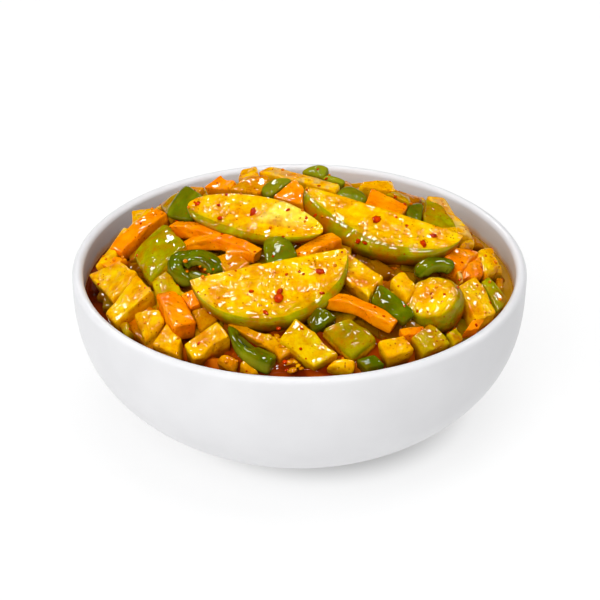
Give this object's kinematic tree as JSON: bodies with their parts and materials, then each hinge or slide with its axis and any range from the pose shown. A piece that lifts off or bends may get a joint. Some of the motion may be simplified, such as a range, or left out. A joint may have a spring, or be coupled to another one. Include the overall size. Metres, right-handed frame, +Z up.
{
  "type": "bowl of achar",
  "caption": "Round glazed bowl of achar: green mango wedges and cubes, carrot batons and green chilli heaped in red spiced oil.",
  "frame": {"origin": "middle of the bowl's flat base", "axes": "+Z up, -Y towards the side that the picture shows"},
  "size_m": [0.16, 0.16, 0.0809],
  "materials": {
    "stoneware": "white gloss glaze",
    "spiced_oil": "clear red-brown oil, glossy",
    "mixed_achar": "oily mixed pickle",
    "mango_flesh": "moist yellow flesh, oily",
    "mango_skin": "smooth green skin, oily",
    "carrot": "moist orange, oily",
    "green_chilli": "smooth dark green, oily"
  },
  "bodies": {
    "root": {"achar_heap": "mixed_achar", "bowl": "stoneware", "capsicum_bit_right": "green_chilli", "capsicum_leaf_back": "green_chilli", "capsicum_petal_back": "green_chilli", "capsicum_petal_right": "green_chilli", "capsicum_shard_left": "green_chilli", "carrot_baton_front": "carrot", "carrot_baton_front_left": "carrot", "carrot_baton_left": "carrot", "carrot_baton_middle": "carrot", "carrot_baton_upper_left": "carrot", "carrot_bit_centre": "carrot", "carrot_cube_back": "carrot", "carrot_strip_arched": "carrot", "chilli_fold_centre": "green_chilli", "chilli_ring_left": "green_chilli", "chilli_ring_right": "green_chilli", "chilli_strip_centre": "green_chilli", "chilli_tip_front": "green_chilli", "mango_chunk_skinned_front": "mango_skin", "mango_cube_skinned_left": "mango_skin", "mango_round_right": "mango_flesh", "mango_slice_back": "mango_flesh", "mango_wedge_front": "mango_flesh", "mango_wedge_left": "mango_flesh", "mango_wedge_right": "mango_flesh", "oil": "spiced_oil"}
  },
  "joints": []
}
